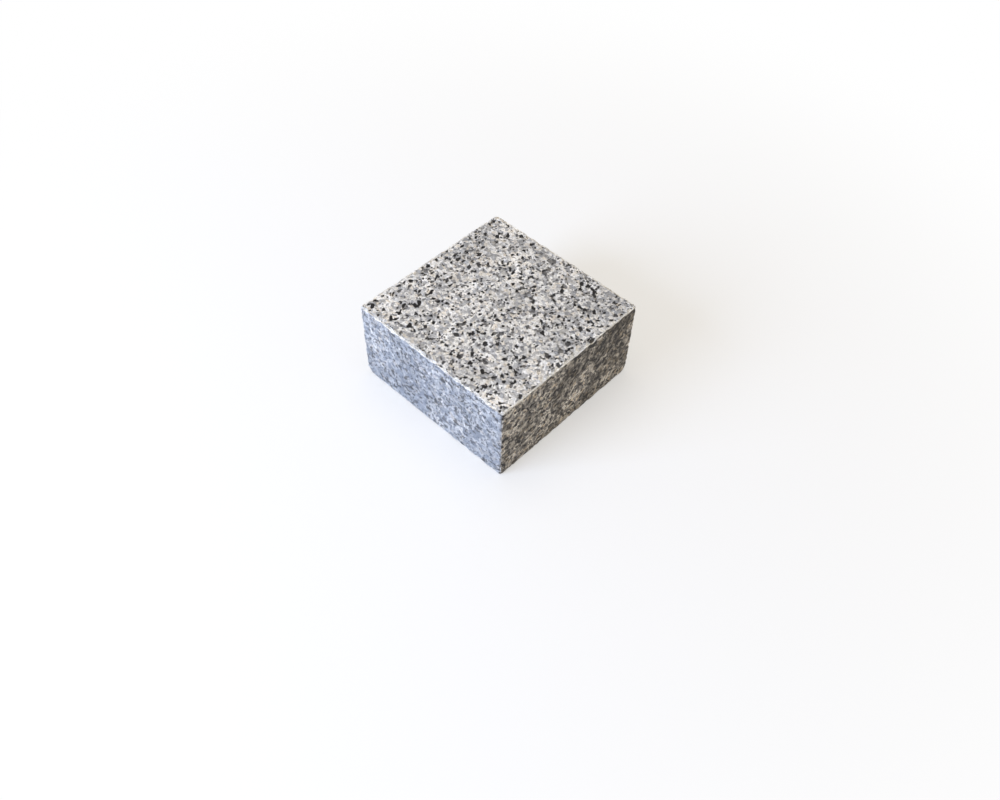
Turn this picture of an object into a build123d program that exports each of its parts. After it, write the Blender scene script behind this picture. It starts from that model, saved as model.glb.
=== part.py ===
from build123d import *
import os
from math import cos, radians, sin

# A square granite kerb stone: sawn sides and bed, a flat wearing face, and arrises that handling has
# chipped above and that the saw has broken out below. +Z is up, the origin is the middle of the bed,
# and the front face looks towards -Y. All sizes are in millimetres.

# The block
length = 100.0  # along X
width = 100.0  # along Y
height = 50.0  # from the bed to the wearing face
arris_break = 0.5  # rubbed off every sharp edge

# Chips along the top arris: far apart and shallow
top_chip_pitch = 15.0
top_chip_length = (3.5, 8.5)
top_chip_depth = (0.35, 0.9)
top_chip_lean = (20.0, 50.0)

# Spalls along the bed arris, where the blade comes out of the stone: closer together, and some deeper
bed_spall_pitch = 9.0
bed_spall_length = (3.5, 9.5)
bed_spall_depth = (0.3, 1.1)
bed_spall_lean = (25.0, 65.0)

# Chips down the upright arrises
upright_chip_pitch = 16.0
upright_chip_length = (3.0, 7.0)
upright_chip_depth = (0.3, 0.7)
upright_chip_lean = (30.0, 60.0)

# Corners knocked off: which corner in X, in Y, bed (0) or top (1), and how deep the bite is
knocked_corners = [
    (-1, -1, 0, 3.2),
    (-1, 1, 1, 1.4),
    (1, 1, 0, 2.4),
    (1, -1, 1, 0.9),
]
corner_bite_radius = 8.0

# Chips of the top arris with a place of their own, besides the spaced ones: how far from the middle
# of the side, as a share of its run, then length, depth and lean. The long one is a flake off the top.
right_top_chips = [
    (0.035, 17.0, 1.0, 18.0),
    (0.155, 4.4, 1.6, 64.0),
]
front_top_chips = [
    (-0.465, 4.4, 1.0, 45.0),
    (-0.365, 5.0, 0.9, 50.0),
    (-0.285, 7.0, 1.0, 38.0),
    (-0.195, 4.0, 0.7, 50.0),
    (-0.070, 6.0, 0.9, 40.0),
    (0.270, 5.0, 0.7, 50.0),
    (0.400, 6.4, 0.8, 38.0),
]

golden_step = 0.618034  # steps through a range without a repeat that shows


def spread(step, span):
    """A value inside span that jumps about from one step to the next."""
    low, high = span
    return low + (high - low) * (step * golden_step % 1)


def scoop(arris_point, first_face, second_face, chip_length, chip_depth, lean):
    """The ball that breaks a shell-shaped chip out of an arris.

    The chip runs chip_length along the arris and chip_depth into it. The two faces are given by their
    outward normals, and lean turns the bite from the first towards the second, in degrees.
    """
    radius = (chip_length**2 / 4 + chip_depth**2) / (2 * chip_depth)
    outward = first_face * cos(radians(lean)) + second_face * sin(radians(lean))
    return arris_point + outward * (radius - chip_depth), radius


def chips_along(middle, run, direction, faces, seed, pitch, lengths, depths, leans):
    """Scoops spaced along one arris, each with its own place, length, depth and lean."""
    count = max(1, round(run / pitch))
    for step in range(count):
        number = seed + step
        drift = spread(2 * number + 1, (-0.3, 0.3))
        place = (step + 0.5 + drift) * run / count - run / 2
        yield scoop(
            middle + direction * place,
            *faces,
            spread(number, lengths),
            spread(3 * number + 1, depths),
            spread(5 * number + 2, leans),
        )


# One turn for each side of the block: its outward normal, half the block across it, and its run
sides = []
for turn in range(4):
    outward = Vector(1, 0, 0).rotate(Axis.Z, 90 * turn)
    half_across, run = (length / 2, width) if turn % 2 == 0 else (width / 2, length)
    sides.append((turn, outward, Vector(0, 0, 1).cross(outward), half_across, run))

scoops = []
for turn, outward, along, half_across, run in sides:
    top_middle = outward * half_across + Vector(0, 0, height)
    scoops += chips_along(
        top_middle, run, along, (Vector(0, 0, 1), outward), 11 * turn + 3,
        top_chip_pitch, top_chip_length, top_chip_depth, top_chip_lean,
    )
    scoops += chips_along(
        outward * half_across, run, along, (Vector(0, 0, -1), outward), 29 * turn,
        bed_spall_pitch, bed_spall_length, bed_spall_depth, bed_spall_lean,
    )
    upright_middle = outward * half_across + along * (run / 2) + Vector(0, 0, height / 2)
    scoops += chips_along(
        upright_middle, height, Vector(0, 0, 1), (outward, along), 17 * turn + 5,
        upright_chip_pitch, upright_chip_length, upright_chip_depth, upright_chip_lean,
    )

right_side, _, _, front_side = sides
for side, placed_chips in ((right_side, right_top_chips), (front_side, front_top_chips)):
    _, outward, along, half_across, run = side
    for share, chip_length, chip_depth, lean in placed_chips:
        arris_point = outward * half_across + along * (share * run) + Vector(0, 0, height)
        scoops.append(scoop(arris_point, Vector(0, 0, 1), outward, chip_length, chip_depth, lean))

# A knocked corner is bitten along the block's diagonal there
for side_x, side_y, at_top, bite in knocked_corners:
    corner = Vector(side_x * length / 2, side_y * width / 2, at_top * height)
    diagonal = Vector(side_x, side_y, 2 * at_top - 1).normalized()
    scoops.append((corner + diagonal * (corner_bite_radius - bite), corner_bite_radius))

# The balls go into one cut, which is several times quicker than a cut for each
balls = [Pos(centre) * Sphere(radius) for centre, radius in scoops]

# The stone
with BuildPart() as kerb_stone:
    with BuildSketch():
        Rectangle(length, width)
    extrude(amount=height)
    chamfer(kerb_stone.edges(), length=arris_break)
    add(balls, mode=Mode.SUBTRACT)

kerb_stone.part.label = "kerb_stone"

os.makedirs("parts", exist_ok=True)
export_step(kerb_stone.part, "parts/kerb_stone.step")
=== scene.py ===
import math
import bpy
import numpy as np
from mathutils import Matrix, Vector


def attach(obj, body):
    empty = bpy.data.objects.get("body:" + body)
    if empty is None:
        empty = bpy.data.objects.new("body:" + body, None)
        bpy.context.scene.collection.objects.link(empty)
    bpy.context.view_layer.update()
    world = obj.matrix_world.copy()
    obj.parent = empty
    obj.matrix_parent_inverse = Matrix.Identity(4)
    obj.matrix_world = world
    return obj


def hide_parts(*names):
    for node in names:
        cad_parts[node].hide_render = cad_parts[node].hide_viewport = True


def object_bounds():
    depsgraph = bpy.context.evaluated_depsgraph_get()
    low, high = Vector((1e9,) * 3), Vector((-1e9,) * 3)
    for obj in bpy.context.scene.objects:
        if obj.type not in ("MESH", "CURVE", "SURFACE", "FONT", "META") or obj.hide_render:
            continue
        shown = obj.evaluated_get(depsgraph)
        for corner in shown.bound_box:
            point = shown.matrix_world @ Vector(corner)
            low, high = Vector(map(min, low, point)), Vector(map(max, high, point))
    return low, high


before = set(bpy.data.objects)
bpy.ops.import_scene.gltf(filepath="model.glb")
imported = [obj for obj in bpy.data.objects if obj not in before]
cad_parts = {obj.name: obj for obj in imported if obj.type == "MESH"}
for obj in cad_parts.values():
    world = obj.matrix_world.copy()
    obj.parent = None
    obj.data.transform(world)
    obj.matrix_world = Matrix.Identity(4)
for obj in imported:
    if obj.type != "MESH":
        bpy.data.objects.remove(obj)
cadLow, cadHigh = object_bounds()  # the solid's own box, which the finished stone is clipped to
mm = 0.001
print("frame loaded, block", [round(size / mm, 1) for size in cadHigh - cadLow], "mm")


# Helpers for node trees, the same for a finish and for a geometry tree. A value is either a constant
# or another node's output.

def plug(tree, socket, value):
    if isinstance(value, bpy.types.NodeSocket):
        tree.links.new(value, socket)
    else:
        socket.default_value = value


def addNode(tree, kind, inputs=None, **settings):
    node = tree.nodes.new(kind)
    for name, value in settings.items():
        setattr(node, name, value)
    for key, value in (inputs or {}).items():
        plug(tree, node.inputs[key], value)
    return node


def calc(tree, operation, *values, clamp=False):
    inputs = dict(enumerate(values))
    return addNode(tree, "ShaderNodeMath", inputs, operation=operation, use_clamp=clamp).outputs[0]


def product(tree, value, *others):
    for other in others:
        value = calc(tree, "MULTIPLY", value, other)
    return value


def vecCalc(tree, operation, *values):
    node = addNode(tree, "ShaderNodeVectorMath", dict(enumerate(values)), operation=operation)
    givesNumber = operation in ("DOT_PRODUCT", "DISTANCE", "LENGTH")
    return node.outputs["Value" if givesNumber else "Vector"]


def scaled(tree, vector, factor):
    node = addNode(tree, "ShaderNodeVectorMath", {0: vector, "Scale": factor}, operation="SCALE")
    return node.outputs["Vector"]


def centred(tree, vector):  # from 0 to 1 into -0.5 to 0.5
    return vecCalc(tree, "SUBTRACT", vector, (0.5, 0.5, 0.5))


def ramped(tree, value, low, high, atLow=0.0, atHigh=1.0):  # a soft step between two values
    inputs = {0: value, 1: low, 2: high, 3: atLow, 4: atHigh}
    return addNode(tree, "ShaderNodeMapRange", inputs, interpolation_type="SMOOTHSTEP").outputs[0]


def mixed(tree, factor, first, second, how="MIX"):
    node = addNode(tree, "ShaderNodeMix", data_type="RGBA", blend_type=how)
    plug(tree, node.inputs[0], factor)
    plug(tree, node.inputs[6], first)
    plug(tree, node.inputs[7], second)
    return node.outputs[2]


def noise(tree, vector, size, detail=2.0, output="Fac"):
    inputs = {"Vector": vector, "Scale": 1 / size, "Detail": detail}
    return addNode(tree, "ShaderNodeTexNoise", inputs).outputs[output]


def cells(tree, vector, size):
    inputs = {"Vector": vector, "Scale": 1 / size}
    return addNode(tree, "ShaderNodeTexVoronoi", inputs, feature="F1").outputs


def turned(tree, vector, angles):
    inputs = {"Vector": vector, "Rotation": angles}
    return addNode(tree, "ShaderNodeVectorRotate", inputs, rotation_type="EULER_XYZ").outputs[0]


def split(tree, vector):
    return addNode(tree, "ShaderNodeSeparateXYZ", {0: vector}).outputs


def joined(tree, x, y, z):
    return addNode(tree, "ShaderNodeCombineXYZ", {0: x, 1: y, 2: z}).outputs[0]


# The grain: crystals of feldspar and quartz with dark mica flakes between them. Sizes in millimetres.
grain = {
    # how the crystals are bent out of a regular mosaic: the size of each bend, and how far it reaches
    "bends": {
        "swirl": {"size": 9.0, "reach": 1.6, "detail": 2.0},  # they grow in no common direction
        "crook": {"size": 1.6, "reach": 0.65, "detail": 1.0},  # with crooked outlines
        "tatter": {"size": 0.5, "reach": 0.20, "detail": 2.0},  # and ragged edges
    },
    "bedding": (0.52, 0.71, 0.33),  # the sawn faces are square to no crystal
    "crystalSize": 1.85,
    "chipletSize": 0.7,  # the finer mosaic inside a crystal
    "facetTilt": 0.42,  # how steeply a split crystal slopes
    # mica crystals of three sizes: the share of that size's crystals that are mica, and how they lie
    "flakes": {
        "large": {"size": 1.9, "share": 0.058, "turn": (0.3, 0.5, 0.2), "squeeze": 0.72},
        "medium": {"size": 1.35, "share": 0.100, "turn": (1.4, 0.2, 1.1), "squeeze": 0.72},
        "small": {"size": 0.85, "share": 0.075, "turn": (0.6, 1.5, 2.3), "squeeze": 0.80},
    },
    # some flakes are paler: how dark the palest is, where 1 is the darkest, and how many are
    "palestFlake": 0.62, "paleShare": 0.6,
    "sawnFlakes": 1.35,  # more flakes show where they are cut through than where they are split
    # mica is scarcer in some places and thicker in others: their size, and how much of it there is
    "cloudSize": 8.0, "cloudSpan": (0.75, 1.22),
    # places with more flakes, so darker: the middle, how far it reaches, and how many times as many
    # flakes there are. The top is darker around its right corner, and the notch in the top arris on the
    # right is painted shade, laid as a dense cluster of dark flakes
    "darkenedPlaces": {
        "rightOfTop": {"middle": (48.0, 24.0, 50.0), "reach": 36.0, "times": 1.3},
        # painted shade in the notch, laid as a dense cluster of dark flakes
        "notchPaintedShade": {"middle": (50.0, 15.5, 49.2), "reach": 4.2, "times": 22.0},
    },
}
noiseSpan = (0.3, 0.7)  # most values of a noise lie between these


def grainField(tree, spot, flamed):
    place = spot
    for bend in grain["bends"].values():
        wander = centred(tree, noise(tree, spot, bend["size"], bend["detail"], "Color"))
        place = vecCalc(tree, "ADD", place, scaled(tree, wander, bend["reach"]))
    cloud = ramped(tree, noise(tree, place, grain["cloudSize"]), *noiseSpan, *grain["cloudSpan"])
    place = turned(tree, place, grain["bedding"])

    crystal = cells(tree, place, grain["crystalSize"])
    kind, tone = split(tree, crystal["Color"])[:2]
    fromMiddle = vecCalc(tree, "SUBTRACT", place, crystal["Position"])
    slope = vecCalc(tree, "DOT_PRODUCT", fromMiddle, centred(tree, crystal["Color"]))
    facet = product(tree, slope, grain["facetTilt"])
    chiplet = split(tree, cells(tree, place, grain["chipletSize"])["Color"])[0]

    plenty = product(tree, cloud, ramped(tree, flamed, 0.0, 1.0, grain["sawnFlakes"], 1.0))
    # more flakes in a few places, which darkens them; the one in the notch is painted shade
    for darkened in grain["darkenedPlaces"].values():
        away = vecCalc(tree, "DISTANCE", spot, darkened["middle"])
        plenty = product(tree, plenty, ramped(tree, away, 0.0, darkened["reach"], darkened["times"], 1.0))
    mica = 0.0
    for flake in grain["flakes"].values():
        flattened = (1.0, 1.0, flake["squeeze"])
        lying = vecCalc(tree, "MULTIPLY", turned(tree, place, flake["turn"]), flattened)
        lot, weathered = split(tree, cells(tree, lying, flake["size"])["Color"])[:2]
        chosen = calc(tree, "LESS_THAN", lot, product(tree, plenty, flake["share"]))
        darkness = ramped(tree, weathered, 0.0, grain["paleShare"], grain["palestFlake"], 1.0)
        mica = calc(tree, "MAXIMUM", mica, product(tree, chosen, darkness))
    return {"kind": kind, "tone": tone, "facet": facet, "mica": mica, "chiplet": chiplet}


# The block: a fine lattice laid on the box and wrapped onto the solid
block = {
    "node": "kerb_stone",
    "acrossCount": 150, "upCount": 76,  # lattice squares along X and Y, and up Z
    # squares near an arris are this much smaller, and so many squares in they are nearly full size
    "edgeCloseness": 0.5, "edgeBand": 9.0,
    # Which way each face looks, whether it is flamed, how mottled it is by damp, how much dust dried on
    # it, and that dust's colour. The dust is also painted light: on the front its bluish colour is
    # partly painted cool light and its thickness partly a painted sheen, on the right its brown colour
    # is partly painted shade, and the hidden left and back are given colours between these. A side also
    # says how whole the pale line on its top arris is, a line that is partly a painted highlight.
    "faces": {
        "left": {"axis": 0, "atEnd": 0, "wholeLine": 0.55,
                 "flamed": 0.0, "stain": 0.4, "dustAndSheen": 0.30, "dustAndPaintedLight": (0.46, 0.47, 0.49)},
        # the right's brown dust is partly painted shade
        "right": {"axis": 0, "atEnd": 1, "wholeLine": 1.0,
                  "flamed": 0.0, "stain": 1.0, "dustAndSheen": 0.10, "dustAndPaintedLight": (0.32, 0.27, 0.22)},
        # the front's thick bluish dust is partly painted cool light and a painted sheen
        "front": {"axis": 1, "atEnd": 0, "wholeLine": 0.40,
                  "flamed": 0.0, "stain": 0.35, "dustAndSheen": 0.58, "dustAndPaintedLight": (0.43, 0.465, 0.53)},
        "back": {"axis": 1, "atEnd": 1, "wholeLine": 0.60,
                 "flamed": 0.0, "stain": 0.6, "dustAndSheen": 0.22, "dustAndPaintedLight": (0.40, 0.385, 0.36)},
        "bed": {"axis": 2, "atEnd": 0,
                "flamed": 0.0, "stain": 0.7, "dustAndSheen": 0.45, "dustAndPaintedLight": (0.42, 0.42, 0.42)},
        "top": {"axis": 2, "atEnd": 1,
                "flamed": 1.0, "stain": 0.15, "dustAndSheen": 0.0, "dustAndPaintedLight": (0.45, 0.45, 0.45)},
    },
}


def latticeLine(low, high, count):
    step = np.arange(count)
    fromEnd = np.minimum(step, count - 1 - step)
    width = 1 - block["edgeCloseness"] * np.exp(-(fromEnd / block["edgeBand"]) ** 2)
    return low + (high - low) * np.concatenate([[0], np.cumsum(width)]) / width.sum()


def layLattice():
    counts = (block["acrossCount"], block["acrossCount"], block["upCount"])
    lines = [latticeLine(cadLow[axis], cadHigh[axis], counts[axis]) for axis in range(3)]
    spots, faceOf = [], []
    for number, face in enumerate(block["faces"].values()):
        axis, atEnd = face["axis"], face["atEnd"]
        first, second = (axis + 1) % 3, (axis + 2) % 3
        a, b = np.meshgrid(np.arange(counts[first]), np.arange(counts[second]), indexing="ij")
        # the way round each square that makes it look outwards
        ring = [(0, 0), (1, 0), (1, 1), (0, 1)] if atEnd else [(0, 0), (0, 1), (1, 1), (1, 0)]
        corners = np.zeros((a.size, 4, 3), int)
        corners[:, :, axis] = counts[axis] * atEnd
        for turn, (stepA, stepB) in enumerate(ring):
            corners[:, turn, first] = (a + stepA).ravel()
            corners[:, turn, second] = (b + stepB).ravel()
        spots.append(corners)
        faceOf += [number] * a.size
    # corners that two faces share become one point
    spots = np.concatenate(spots).reshape(-1, 3)
    keys = (spots[:, 0] * (counts[1] + 1) + spots[:, 1]) * (counts[2] + 1) + spots[:, 2]
    _, firstSeen, corner = np.unique(keys, return_index=True, return_inverse=True)
    places = np.stack([lines[axis][spots[firstSeen, axis]] for axis in range(3)], 1)
    mesh = bpy.data.meshes.new("kerbStone")
    mesh.from_pydata(places.tolist(), [], corner.reshape(-1, 4).tolist())
    piece = bpy.data.objects.new("kerbStone", mesh)
    bpy.context.scene.collection.objects.link(piece)
    return piece, places, np.repeat(faceOf, 4)


def setAttribute(mesh, name, domain, values):
    kind, field = ("FLOAT_VECTOR", "vector") if values.ndim == 2 else ("FLOAT", "value")
    kept = mesh.attributes.new(name, kind, domain)
    kept.data.foreach_set(field, values.astype(np.float32).ravel())


def markArrises(mesh, places):  # how far each point is from the arrises, in millimetres
    half = np.array((cadHigh - cadLow) / 2)
    middle = np.array((cadHigh + cadLow) / 2)
    inset = (half - np.abs(places - middle)) / mm
    fromSide = np.minimum(inset[:, 0], inset[:, 1])
    fromTop = (cadHigh.z - places[:, 2]) / mm
    fromBed = (places[:, 2] - cadLow.z) / mm
    setAttribute(mesh, "topArris", "POINT", np.hypot(fromTop, fromSide))
    setAttribute(mesh, "bedArris", "POINT", np.hypot(fromBed, fromSide))
    setAttribute(mesh, "uprightArris", "POINT", np.hypot(inset[:, 0], inset[:, 1]))


def markFaces(mesh, places, faceOfCorner):
    faces = block["faces"].values()
    # the dust's colour and thickness are partly painted light on the front and the right
    for name in ("flamed", "stain", "dustAndSheen", "dustAndPaintedLight"):
        ofFace = np.array([face[name] for face in faces])
        setAttribute(mesh, name, "CORNER", ofFace[faceOfCorner])
    # what a side says of its top arris holds for every point that is nearest to that side
    sides = [face for face in faces if "wholeLine" in face]
    away = []
    for side in sides:
        axis, end = side["axis"], (cadLow, cadHigh)[side["atEnd"]]
        away.append(np.abs(places[:, axis] - end[axis]))
    whole = np.array([side["wholeLine"] for side in sides])
    setAttribute(mesh, "wholeLine", "POINT", whole[np.argmin(away, axis=0)])


def applyModifiers(piece):
    shaped = piece.evaluated_get(bpy.context.evaluated_depsgraph_get())
    piece.data = bpy.data.meshes.new_from_object(shaped)
    piece.modifiers.clear()


def pointArray(mesh):
    flat = np.zeros(len(mesh.vertices) * 3, np.float32)
    mesh.vertices.foreach_get("co", flat)
    return flat.reshape(-1, 3)


def wrapOnSolid(piece, places):
    wrap = piece.modifiers.new("wrap", "SHRINKWRAP")
    wrap.wrap_method = "NEAREST_SURFACEPOINT"
    wrap.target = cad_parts[block["node"]]
    applyModifiers(piece)
    wrapped = pointArray(piece.data)
    normals = np.zeros(len(wrapped) * 3, np.float32)
    piece.data.vertex_normals.foreach_get("vector", normals)
    # for the grain and the finish: where a point is, how far in it was broken, and how much it looks up
    setAttribute(piece.data, "stonePlace", "POINT", wrapped / mm)
    setAttribute(piece.data, "broken", "POINT", np.linalg.norm(wrapped - places, axis=1) / mm)
    setAttribute(piece.data, "faceUp", "POINT", normals[2::3])
    return wrapped


stone, places, faceOfCorner = layLattice()
markArrises(stone.data, places)
markFaces(stone.data, places, faceOfCorner)
wrapped = wrapOnSolid(stone, places)
print("lattice wrapped on the solid,", len(stone.data.polygons), "squares")


# Relief cut into the wrapped lattice, always inwards. Depths in millimetres.
relief = {
    # each surface: how deep it is cut, the size of its waves, and how high they are
    "flamedDepth": 0.42, "flamedWave": 4.6, "flamedReach": 0.68,
    "sawnDepth": 0.06, "sawnWave": 7.0, "sawnReach": 0.10,
    "facetReach": 0.90,  # how much of its slope a split crystal has on the flamed face
    "micaPit": 0.16,
    # the crumbled arrises: how far in they crumble and how deep, how long the crumbled places are,
    # and the values of their noise between which they set in
    "nibbles": {"top": (1.6, 0.65), "bed": (1.5, 0.6), "upright": (1.8, 1.0)},
    "nibbleWave": 2.3, "nibbleNoise": (0.38, 0.72),
    "topCrumbles": 1.5,  # times as deep at the top arris, less how whole its line is
}


def cutRelief(piece):
    tree = bpy.data.node_groups.new("stoneRelief", "GeometryNodeTree")
    tree.interface.new_socket("Geometry", in_out="INPUT", socket_type="NodeSocketGeometry")
    tree.interface.new_socket("Geometry", in_out="OUTPUT", socket_type="NodeSocketGeometry")
    start, end = addNode(tree, "NodeGroupInput"), addNode(tree, "NodeGroupOutput")

    def read(name, kind="FLOAT"):
        inputs = {"Name": name}
        return addNode(tree, "GeometryNodeInputNamedAttribute", inputs, data_type=kind).outputs[0]

    place = read("stonePlace", "FLOAT_VECTOR")
    flamed = read("flamed")
    grains = grainField(tree, place, flamed)

    craters = calc(tree, "SUBTRACT", noise(tree, place, relief["flamedWave"], detail=3.0), 0.5)
    rough = calc(tree, "MULTIPLY_ADD", craters, relief["flamedReach"], relief["flamedDepth"])
    rough = calc(tree, "MULTIPLY_ADD", grains["facet"], relief["facetReach"], rough)
    rough = calc(tree, "MULTIPLY_ADD", grains["mica"], relief["micaPit"], rough)
    wave = calc(tree, "SUBTRACT", noise(tree, place, relief["sawnWave"]), 0.5)
    sawn = calc(tree, "MULTIPLY_ADD", wave, relief["sawnReach"], relief["sawnDepth"])
    depth = calc(tree, "MULTIPLY_ADD", calc(tree, "SUBTRACT", rough, sawn), flamed, sawn)

    crumble = ramped(tree, noise(tree, place, relief["nibbleWave"], detail=3.0), *relief["nibbleNoise"])
    for arris, (reach, deep) in relief["nibbles"].items():
        near = ramped(tree, read(arris + "Arris"), 0.0, reach, 1.0, 0.0)
        if arris == "top":
            near = product(tree, near, calc(tree, "SUBTRACT", relief["topCrumbles"], read("wholeLine")))
        depth = calc(tree, "MULTIPLY_ADD", product(tree, near, crumble), deep, depth)

    inwards = product(tree, calc(tree, "MAXIMUM", depth, 0.0), -mm)
    offset = scaled(tree, addNode(tree, "GeometryNodeInputNormal").outputs[0], inwards)
    inputs = {"Geometry": start.outputs[0], "Offset": offset}
    moved = addNode(tree, "GeometryNodeSetPosition", inputs)
    tree.links.new(moved.outputs[0], end.inputs[0])
    piece.modifiers.new("relief", "NODES").node_group = tree
    applyModifiers(piece)


cutRelief(stone)
cut = np.clip(pointArray(stone.data), cadLow, cadHigh)  # a point beside a chip can slip out sideways
stone.data.vertices.foreach_set("co", cut.astype(np.float32).ravel())
stone.data.polygons.foreach_set("use_smooth", [True] * len(stone.data.polygons))
stone.data.update()
print("relief cut, deepest", round(float(np.linalg.norm(cut - wrapped, axis=1).max() / mm), 2), "mm")


# The granite. Colours are linear values, sizes are in millimetres. An entry that ends in Noise holds
# the values of that noise at which its effect is at its low and its high end.
granite = {
    # where each mineral begins among the crystals, which are numbered from 0 to 1, and its colour
    "minerals": {
        "quartz": (0.0, (0.42, 0.417, 0.418, 1)),
        "greyFeldspar": (0.25, (0.58, 0.570, 0.560, 1)),
        "whiteFeldspar": (0.43, (0.87, 0.851, 0.820, 1)),
        "creamFeldspar": (0.86, (0.80, 0.750, 0.680, 1)),
    },
    "mica": (0.026, 0.024, 0.024, 1),
    "dustAndSheenOnMica": 0.60, "crushAndHighlightOnMica": 0.75,  # how far dust with its painted sheen, and crushed stone with its painted highlight, hide the dark flakes
    # how much lighter or darker each chiplet and each crystal is, and the finest grain inside them
    "chipletTones": (0.74, 1.15), "crystalTones": (0.90, 1.08),
    "fineWave": 0.28, "fineNoise": (0.25, 0.75), "fineTones": (0.94, 1.06),
    "broadWave": 24.0, "broadTones": (0.88, 1.08),
    # A sawn face scatters less light than a flamed one: its chiplets show less, from this tone up, and
    # its minerals show deeper, raised to this power
    "sawnTonesFrom": 0.83, "sawnDeepening": 1.7,
    # damp and dirt in the pores: their size and a finer mottling, the share of the first, and what the
    # darkest and the palest places do to the colour
    "dampWave": 26.0, "mottleWave": 4.5, "dampShare": 0.6, "dampNoise": (0.38, 0.62),
    "dampDark": (0.48, 0.46, 0.435, 1), "dampPale": (1.42, 1.37, 1.31, 1),
    "dustAndSheenWave": 6.0, "dustAndSheenTimes": (0.7, 1.2),  # dust, partly a painted sheen, lies in patches, thinner and thicker

    # Chips: how far in the stone has to be broken, the colour inside and how much of it shows
    "chipFrom": (0.05, 0.30), "fresh": (0.66, 0.65, 0.63, 1), "freshShows": 0.35,
    # crushed stone is paler, and partly a painted highlight. In the chips it shows this much near the
    # top arris, fades out this far from it, shows only where the chip looks up, where the painted
    # highlight stands for the light that falls on it, and not where the stone broke away deep and clean
    "bruiseAndHighlight": (0.95, 0.925, 0.865, 1), "bruiseAndHighlightShows": 0.9,
    "bruiseAndHighlightFades": (3.0, 5.0), "bruiseAndHighlightLooksUp": (0.35, 0.65), "cleanBreak": (0.8, 1.2),
    # and it makes a pale line on each arris, partly crushed stone and partly a painted highlight where
    # the arris
    # catches the light: how wide, how ragged, how strong and how whole it is.
    # The sides say how whole it is at the top.
    "lines": {
        "top": {"width": 1.25, "ragged": 3.8, "strength": 1.0},
        "bed": {"width": 1.3, "ragged": 2.2, "strength": 0.7, "whole": 0.75},
        "upright": {"width": 0.5, "ragged": 3.2, "strength": 0.6, "whole": 0.45},
    },
    "lineEdge": (0.5, 1.2),  # a line fades out between these shares of its width
    "raggedWave": 3.0,
    # gaps open in a line where a noise, plus this share of how whole the line is, is low
    "gapWave": 4.0, "wholeShare": 0.5, "gapNoise": (0.69, 0.79),

    "stoneRoughness": 0.70, "micaRoughness": 0.42,
    "gloss": 0.10,  # specular level; the surface is too rough to shine more
    # the finest relief, too small for the lattice: how much on each kind of face, and what of
    "bumpFlamed": 0.80, "bumpSawn": 0.16, "gritSize": 0.5,
    "bumps": {"facet": -0.8, "mica": -0.14, "chiplet": 0.05, "grit": 0.12},
}


def attribute(tree, name, output="Fac"):  # what the mesh keeps at a point or on a face
    return addNode(tree, "ShaderNodeAttribute", attribute_name=name).outputs[output]


def mineralTone(tree, place, flamed, grains):
    low, high = granite["chipletTones"]
    low = ramped(tree, flamed, 0.0, 1.0, granite["sawnTonesFrom"], low)
    ofChiplet = ramped(tree, grains["chiplet"], 0.0, 1.0, low, high)
    ofCrystal = ramped(tree, grains["tone"], 0.0, 1.0, *granite["crystalTones"])
    fine = noise(tree, place, granite["fineWave"])
    fine = ramped(tree, fine, *granite["fineNoise"], *granite["fineTones"])
    broad = noise(tree, place, granite["broadWave"], detail=1.0)
    broad = ramped(tree, broad, *noiseSpan, *granite["broadTones"])
    tone = product(tree, ofChiplet, ofCrystal, fine, broad)
    return joined(tree, tone, tone, tone)


def mineralColour(tree, flamed, grains, tone):
    minerals = addNode(tree, "ShaderNodeValToRGB", {0: grains["kind"]})
    ramp = minerals.color_ramp
    ramp.interpolation = "CONSTANT"
    while len(ramp.elements) < len(granite["minerals"]):
        ramp.elements.new(1.0)
    for element, (begins, colour) in zip(ramp.elements, granite["minerals"].values()):
        element.position = begins
        element.color = colour
    colour = mixed(tree, 1.0, minerals.outputs[0], tone, "MULTIPLY")
    depth = ramped(tree, flamed, 0.0, 1.0, granite["sawnDeepening"], 1.0)
    return addNode(tree, "ShaderNodeGamma", {"Color": colour, "Gamma": depth}).outputs[0]


def dampened(tree, place, colour):
    damp = product(tree, noise(tree, place, granite["dampWave"]), granite["dampShare"])
    mottle = noise(tree, place, granite["mottleWave"], detail=1.0)
    damp = calc(tree, "MULTIPLY_ADD", mottle, 1 - granite["dampShare"], damp)
    damp = ramped(tree, damp, *granite["dampNoise"])
    stain = mixed(tree, damp, granite["dampDark"], granite["dampPale"])
    return mixed(tree, attribute(tree, "stain"), colour, mixed(tree, 1.0, colour, stain, "MULTIPLY"))


# how thick the dust lies, on the front partly a painted sheen
def dustAndSheenThickness(tree, place):
    patches = noise(tree, place, granite["dustAndSheenWave"], detail=3.0)
    patches = ramped(tree, patches, *noiseSpan, *granite["dustAndSheenTimes"])
    return product(tree, attribute(tree, "dustAndSheen"), patches)


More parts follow.
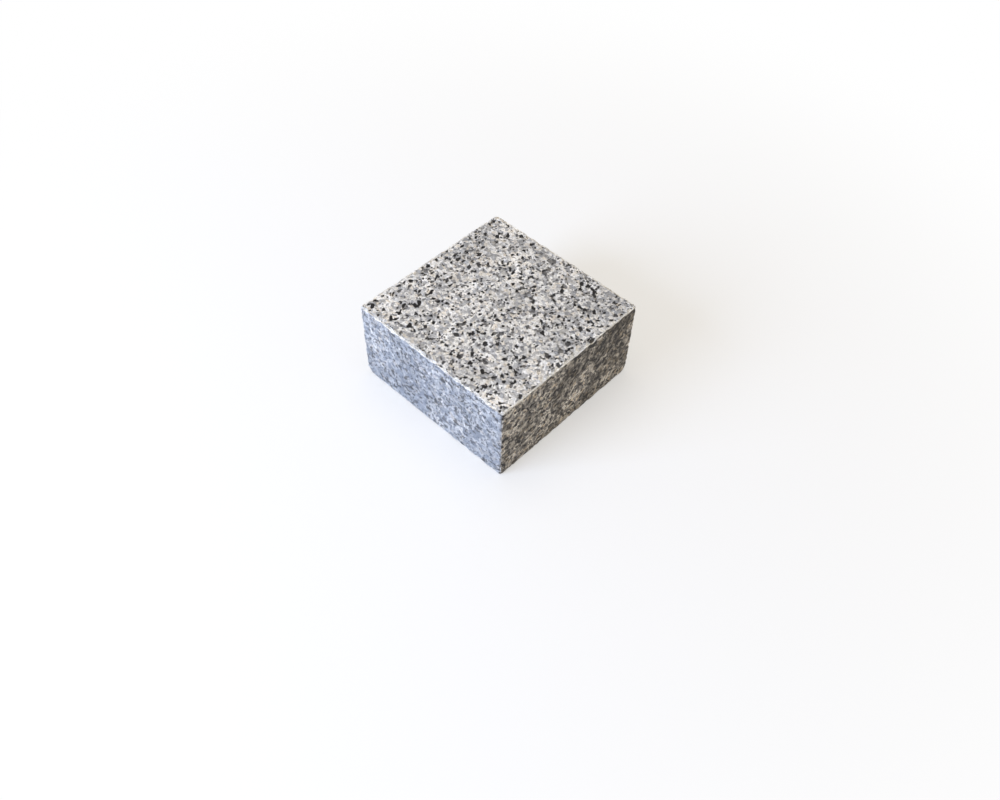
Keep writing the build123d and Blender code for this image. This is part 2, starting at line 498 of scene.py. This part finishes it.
def crushedStoneAndHighlight(tree, place, chipped):  # how much crushed stone and painted highlight shows: in the chips, and on the arrises
    near = attribute(tree, "topArris")
    near = ramped(tree, near, *granite["bruiseAndHighlightFades"], granite["bruiseAndHighlightShows"], 0.0)
    looksUp = ramped(tree, attribute(tree, "faceUp"), *granite["bruiseAndHighlightLooksUp"])
    crushedAndHighlight = product(tree, chipped, product(tree, near, looksUp))
    scatter = calc(tree, "SUBTRACT", noise(tree, place, granite["raggedWave"], detail=3.0), 0.5)
    gaps = noise(tree, place, granite["gapWave"])
    # the pale lines on the arrises, partly a painted highlight
    for arris, line in granite["lines"].items():
        away = calc(tree, "MULTIPLY_ADD", scatter, line["ragged"], attribute(tree, arris + "Arris"))
        full, gone = (line["width"] * share for share in granite["lineEdge"])
        pale = ramped(tree, away, full, gone, line["strength"], 0.0)
        whole = line["whole"] if "whole" in line else attribute(tree, "wholeLine")
        kept = calc(tree, "MULTIPLY_ADD", whole, granite["wholeShare"], gaps)
        pale = product(tree, pale, ramped(tree, kept, *granite["gapNoise"]))
        crushedAndHighlight = calc(tree, "MAXIMUM", crushedAndHighlight, pale)
    clean = ramped(tree, attribute(tree, "broken"), *granite["cleanBreak"])
    return product(tree, crushedAndHighlight, calc(tree, "SUBTRACT", 1.0, clean))


def finestRelief(tree, place, flamed, grains):
    heights = {**grains, "grit": noise(tree, place, granite["gritSize"], detail=4.0)}
    height = 0.0
    for name, share in granite["bumps"].items():
        height = calc(tree, "MULTIPLY_ADD", heights[name], share, height)
    more = granite["bumpFlamed"] - granite["bumpSawn"]
    lift = calc(tree, "MULTIPLY_ADD", flamed, more, granite["bumpSawn"])
    inputs = {"Height": product(tree, height, lift), "Distance": mm, "Strength": 1.0}
    return addNode(tree, "ShaderNodeBump", inputs).outputs[0]


def graniteFinish():
    material = bpy.data.materials.new("granite")
    material.use_nodes = True
    tree = material.node_tree
    shader = tree.nodes["Principled BSDF"]
    place = attribute(tree, "stonePlace", "Vector")
    flamed = attribute(tree, "flamed")
    grains = grainField(tree, place, flamed)

    # the minerals, then damp, dust that is partly painted light, fresh stone, and crushed stone that is
    # partly a painted highlight over them, and the dark flakes last
    tone = mineralTone(tree, place, flamed, grains)
    colour = dampened(tree, place, mineralColour(tree, flamed, grains, tone))
    # dust over the minerals, partly painted light: cool light and sheen on the front, shade on the right
    dustAndSheenShare = dustAndSheenThickness(tree, place)
    colour = mixed(tree, dustAndSheenShare, colour, attribute(tree, "dustAndPaintedLight", "Color"))
    chipped = ramped(tree, attribute(tree, "broken"), *granite["chipFrom"])
    colour = mixed(tree, product(tree, chipped, granite["freshShows"]), colour, granite["fresh"])
    crushedAndHighlight = crushedStoneAndHighlight(tree, place, chipped)
    # crushed stone over the colour, partly a painted highlight on the arrises and on the chips that look
    # up
    colour = mixed(tree, crushedAndHighlight, colour, mixed(tree, 1.0, granite["bruiseAndHighlight"], tone, "MULTIPLY"))
    hidden = product(tree, dustAndSheenShare, granite["dustAndSheenOnMica"])
    hidden = calc(tree, "MULTIPLY_ADD", crushedAndHighlight, granite["crushAndHighlightOnMica"], hidden)
    dark = product(tree, grains["mica"], calc(tree, "SUBTRACT", 1.0, hidden, clamp=True))
    plug(tree, shader.inputs["Base Color"], mixed(tree, dark, colour, granite["mica"]))

    smoother = granite["micaRoughness"] - granite["stoneRoughness"]
    rough = calc(tree, "MULTIPLY_ADD", grains["mica"], smoother, granite["stoneRoughness"])
    plug(tree, shader.inputs["Roughness"], rough)
    shader.inputs["Specular IOR Level"].default_value = granite["gloss"]
    plug(tree, shader.inputs["Normal"], finestRelief(tree, place, flamed, grains))
    return material


stone.data.materials.clear()
stone.data.materials.append(graniteFinish())
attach(stone, "root")
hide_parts(block["node"])
print("granite finish on")


# Floor: pale, and white to the camera away from the stone, so that only the soft shadow shows
floor = {
    "size": 8.0, "drop": 0.0002,  # it lies a hair below the bed
    "shown": 0.99, "bounce": 0.38,  # how pale it looks, and how much light it throws back on the stone
    "shadowLift": 0.45,  # how far the shadow beside the stone is lightened
    "clearFrom": 0.10, "whiteFrom": 0.42,  # it turns to plain white between these distances
}


def raysThatLook(tree):  # the rays that show the white background, rather than light the stone with it
    rays = addNode(tree, "ShaderNodeLightPath").outputs
    seen = calc(tree, "MAXIMUM", rays["Is Camera Ray"], rays["Is Glossy Ray"])
    return calc(tree, "MAXIMUM", seen, rays["Is Transmission Ray"])


def layFloor():
    bpy.ops.mesh.primitive_plane_add(size=floor["size"], location=(0, 0, cadLow.z - floor["drop"]))
    ground = bpy.context.object
    ground.name = "floor"
    material = bpy.data.materials.new("paleFloor")
    material.use_nodes = True
    tree = material.node_tree
    tree.nodes.remove(tree.nodes["Principled BSDF"])
    seen = raysThatLook(tree)
    shade = mixed(tree, seen, (floor["bounce"],) * 3 + (1,), (floor["shown"],) * 3 + (1,))
    matt = addNode(tree, "ShaderNodeBsdfDiffuse", {"Color": shade})
    white = addNode(tree, "ShaderNodeEmission", {"Color": (1, 1, 1, 1), "Strength": 1.0})
    away = vecCalc(tree, "LENGTH", addNode(tree, "ShaderNodeTexCoord").outputs["Object"])
    whiteness = ramped(tree, away, floor["clearFrom"], floor["whiteFrom"], floor["shadowLift"], 1.0)
    inputs = {0: product(tree, seen, whiteness), 1: matt.outputs[0], 2: white.outputs[0]}
    both = addNode(tree, "ShaderNodeMixShader", inputs)
    plug(tree, tree.nodes["Material Output"].inputs["Surface"], both.outputs[0])
    ground.data.materials.append(material)


layFloor()

# Light: a cool soft window on the left, a large soft top light, and a dim even room. A lamp with a
# share of 1 shows a surface that faces it in that surface's own colour.
lamps = {
    "window": {"towards": (-0.28, -0.86, 0.42), "away": 1.5, "size": 0.9,
               "share": 0.84, "tint": (0.80, 0.97, 1.33)},
    "ceiling": {"towards": (-0.15, 0.10, 1.0), "away": 1.4, "size": 1.2,
                "share": 0.24, "tint": (1.13, 1.0, 0.79)},
}
room = {"tint": (1.07, 1.0, 0.90), "strength": 0.44}


def hangLamp(name, lamp):
    direction = Vector(lamp["towards"]).normalized()
    light = bpy.data.lights.new(name, "AREA")
    light.size = lamp["size"]
    light.color = lamp["tint"]
    light.energy = math.pi ** 2 * lamp["away"] ** 2 * lamp["share"]
    holder = bpy.data.objects.new(name, light)
    holder.location = direction * lamp["away"]
    holder.rotation_euler = direction.to_track_quat("Z", "Y").to_euler()
    bpy.context.scene.collection.objects.link(holder)


def fillRoom():
    world = bpy.data.worlds.new("room")
    world.use_nodes = True
    bpy.context.scene.world = world
    tree = world.node_tree
    dim = tree.nodes["Background"]
    plug(tree, dim.inputs["Color"], room["tint"] + (1,))
    plug(tree, dim.inputs["Strength"], room["strength"])
    white = addNode(tree, "ShaderNodeBackground", {"Color": (1, 1, 1, 1), "Strength": 1.0})
    inputs = {0: raysThatLook(tree), 1: dim.outputs[0], 2: white.outputs[0]}
    both = addNode(tree, "ShaderNodeMixShader", inputs)
    plug(tree, tree.nodes["World Output"].inputs["Surface"], both.outputs[0])


for name, lamp in lamps.items():
    hangLamp(name, lamp)
fillRoom()
print("floor and light in place")

# Camera, as the stone was seen: place in metres from the middle of the bed, angles in degrees, lens
# and sensor in millimetres
view = {
    "place": (0.2353, -0.25508, 0.4071), "turn": 42.361, "down": 51.346, "roll": 1.793,
    "lens": 35.0, "sensorWidth": 36.0, "nearest": 0.01,
}


def standCamera():
    turn, down, roll = (math.radians(view[name]) for name in ("turn", "down", "roll"))
    ahead = Vector((-math.sin(turn) * math.cos(down), math.cos(turn) * math.cos(down), -math.sin(down)))
    level = Vector((math.cos(turn), math.sin(turn), 0))
    upright = level.cross(ahead)
    right = level * math.cos(roll) + upright * math.sin(roll)
    top = upright * math.cos(roll) - level * math.sin(roll)
    camera = bpy.data.objects.new("camera", bpy.data.cameras.new("camera"))
    camera.data.lens = view["lens"]
    camera.data.sensor_width = view["sensorWidth"]
    camera.data.clip_start = view["nearest"]
    axes = Matrix((right, top, -ahead)).transposed().to_4x4()
    camera.matrix_world = Matrix.Translation(view["place"]) @ axes
    bpy.context.scene.collection.objects.link(camera)
    bpy.context.scene.camera = camera


standCamera()
bpy.context.scene.view_settings.view_transform = "Standard"
print("camera set")
